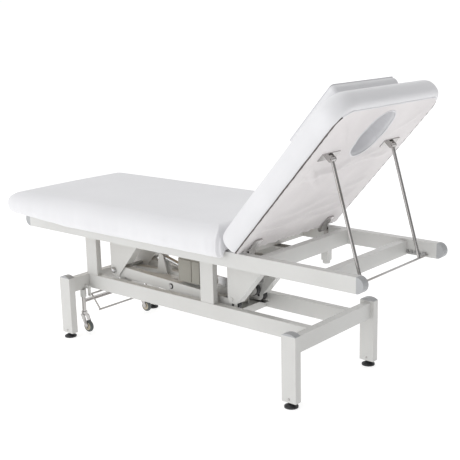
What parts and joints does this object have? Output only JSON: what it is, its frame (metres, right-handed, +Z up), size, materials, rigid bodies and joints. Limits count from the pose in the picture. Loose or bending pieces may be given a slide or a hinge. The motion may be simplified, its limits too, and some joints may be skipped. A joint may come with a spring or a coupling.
{
  "type": "facial treatment bed",
  "caption": "Height-adjustable padded treatment bed on a scissor-lift tube frame, with a propped tilting backrest, breathing hole, pillow and retractable casters.",
  "frame": {"origin": "on the floor under the middle of the whole bed's box, at the lowest height with the backrest raised", "axes": "+X towards the head end, +Y towards the side away from the viewer's near side, +Z up"},
  "size_m": [1.7499, 0.64, 1.1073],
  "materials": {
    "powder_coat": "smooth warm white powder coat",
    "cap_plastic": "satin moulded mid grey",
    "black_plastic": "satin black",
    "pad_rubber": "matt light grey",
    "chrome_steel": "bright chrome",
    "bright_steel": "zinc plated",
    "dark_steel": "black",
    "motor_plastic": "satin beige grey",
    "white_leather": "soft white polyurethane leather",
    "plywood": "raw birch plywood",
    "lining_cloth": "pale pinkish grey lining",
    "tyre_rubber": "dark grey"
  },
  "bodies": {
    "base": {"base_rail_near": "powder_coat", "base_rail_far": "powder_coat", "base_cross_head": "powder_coat", "base_cross_foot": "powder_coat", "leg_near_head": "powder_coat", "leg_far_head": "powder_coat", "leg_near_foot": "powder_coat", "leg_far_foot": "powder_coat", "leg_caps": "cap_plastic", "levelling_feet": "black_plastic", "foot_plug_screws": "chrome_steel", "rest_posts": "powder_coat", "post_pads": "pad_rubber", "lift_cross_foot": "powder_coat", "lift_cross_head": "powder_coat", "arm_base_lugs": "powder_coat", "arm_base_pins": "bright_steel", "roller_tracks": "bright_steel", "actuator_lugs": "powder_coat", "actuator_rear_pin": "bright_steel", "caster_guides": "powder_coat"},
    "upper_frame": {"upper_rail_near": "powder_coat", "upper_rail_far": "powder_coat", "rail_end_caps": "cap_plastic", "upper_cross_foot": "powder_coat", "upper_cross_members": "powder_coat", "upper_cross_back": "powder_coat", "upper_cross_tail": "powder_coat", "stub_posts": "powder_coat", "lift_brackets_foot": "powder_coat", "lift_brackets_head": "powder_coat", "roller_guides": "bright_steel", "control_box": "motor_plastic", "prop_racks": "dark_steel", "hinge_pins": "chrome_steel", "seat_board": "plywood", "seat_cushion": "white_leather"},
    "outer_arm_pair": {"outer_arms": "powder_coat", "frame_pivot_shaft": "bright_steel", "outer_rollers": "black_plastic"},
    "inner_arm_pair": {"inner_arms": "powder_coat", "inner_rollers": "black_plastic", "arm_centre_pins": "bright_steel", "actuator_crank": "powder_coat"},
    "actuator_body": {"actuator_housing": "motor_plastic", "actuator_motor": "motor_plastic"},
    "actuator_rod_body": {"actuator_rod": "bright_steel"},
    "backrest": {"backrest_board": "plywood", "backrest_cushion": "white_leather", "backrest_lining": "lining_cloth", "hinge_straps": "chrome_steel", "prop_brackets": "chrome_steel"},
    "pillow_body": {"pillow": "white_leather"},
    "prop": {"prop_frame": "chrome_steel"},
    "caster_lift": {"caster_carriage": "chrome_steel"},
    "caster_near": {"caster_fork_near": "chrome_steel"},
    "caster_far": {"caster_fork_far": "chrome_steel"},
    "wheel_near": {"caster_wheel_near": "tyre_rubber"},
    "wheel_far": {"caster_wheel_far": "tyre_rubber"},
    "pedal": {"caster_pedal": "chrome_steel"}
  },
  "joints": [
    {"name": "lift", "type": "slide", "parent": "base", "child": "upper_frame", "axis": [0, 0, 1], "range_m": [0, 0.24]},
    {"name": "inner_arm_turn", "type": "hinge", "parent": "base", "child": "inner_arm_pair", "pos_m": [-0.4615, 0, 0.252], "axis": [0, -1, 0], "range_deg": [-0.5, 22.36]},
    {"name": "outer_arm_turn", "type": "hinge", "parent": "upper_frame", "child": "outer_arm_pair", "pos_m": [-0.4615, 0, 0.282], "axis": [0, 1, 0], "range_deg": [-0.5, 22.36]},
    {"name": "actuator_tilt", "type": "hinge", "parent": "base", "child": "actuator_body", "pos_m": [0.1575, 0, 0.247], "axis": [0, 1, 0], "range_deg": [-0.5, 6.4]},
    {"name": "actuator_extend", "type": "slide", "parent": "actuator_body", "child": "actuator_rod_body", "axis": [-0.971, 0, 0.2389], "range_m": [-0.001, 0.0703]},
    {"name": "backrest_tilt", "type": "hinge", "parent": "upper_frame", "child": "backrest", "pos_m": [0.3782, 0, 0.512], "axis": [0, -1, 0], "range_deg": [-48.7, 2.5]},
    {"name": "prop_swing", "type": "hinge", "parent": "backrest", "child": "prop", "pos_m": [0.69734, 0, 0.86169], "axis": [0, -1, 0], "range_deg": [-3, 33.24]},
    {"name": "pillow_lift_off", "type": "slide", "parent": "backrest", "child": "pillow_body", "axis": [-0.7513, 0, 0.66], "range_m": [0, 0.06]},
    {"name": "caster_drop", "type": "slide", "parent": "base", "child": "caster_lift", "axis": [0, 0, -1], "range_m": [0, 0.016]},
    {"name": "pedal_press", "type": "hinge", "parent": "base", "child": "pedal", "pos_m": [-0.5585, 0, 0.172], "axis": [0, 1, 0], "range_deg": [0, 25.2]},
    {"name": "caster_swivel_near", "type": "hinge", "parent": "caster_lift", "child": "caster_near", "pos_m": [-0.5865, -0.172, 0.09], "axis": [0, 0, 1], "continuous": true},
    {"name": "caster_swivel_far", "type": "hinge", "parent": "caster_lift", "child": "caster_far", "pos_m": [-0.5865, 0.172, 0.09], "axis": [0, 0, 1], "continuous": true},
    {"name": "wheel_spin_near", "type": "hinge", "parent": "caster_near", "child": "wheel_near", "pos_m": [-0.5625, -0.172, 0.0325], "axis": [0, 1, 0], "continuous": true},
    {"name": "wheel_spin_far", "type": "hinge", "parent": "caster_far", "child": "wheel_far", "pos_m": [-0.5625, 0.172, 0.0325], "axis": [0, 1, 0], "continuous": true}
  ],
  "couplings": [
    {"joint": "inner_arm_turn", "follows": "lift", "rad_per_m": 1.5898},
    {"joint": "outer_arm_turn", "follows": "lift", "rad_per_m": 1.5898},
    {"joint": "actuator_tilt", "follows": "lift", "rad_per_m": 0.4289},
    {"joint": "actuator_extend", "follows": "lift", "ratio": 0.2844},
    {"joint": "prop_swing", "follows": "backrest_tilt", "ratio": -0.662},
    {"joint": "pedal_press", "follows": "caster_drop", "rad_per_m": 27.271}
  ]
}
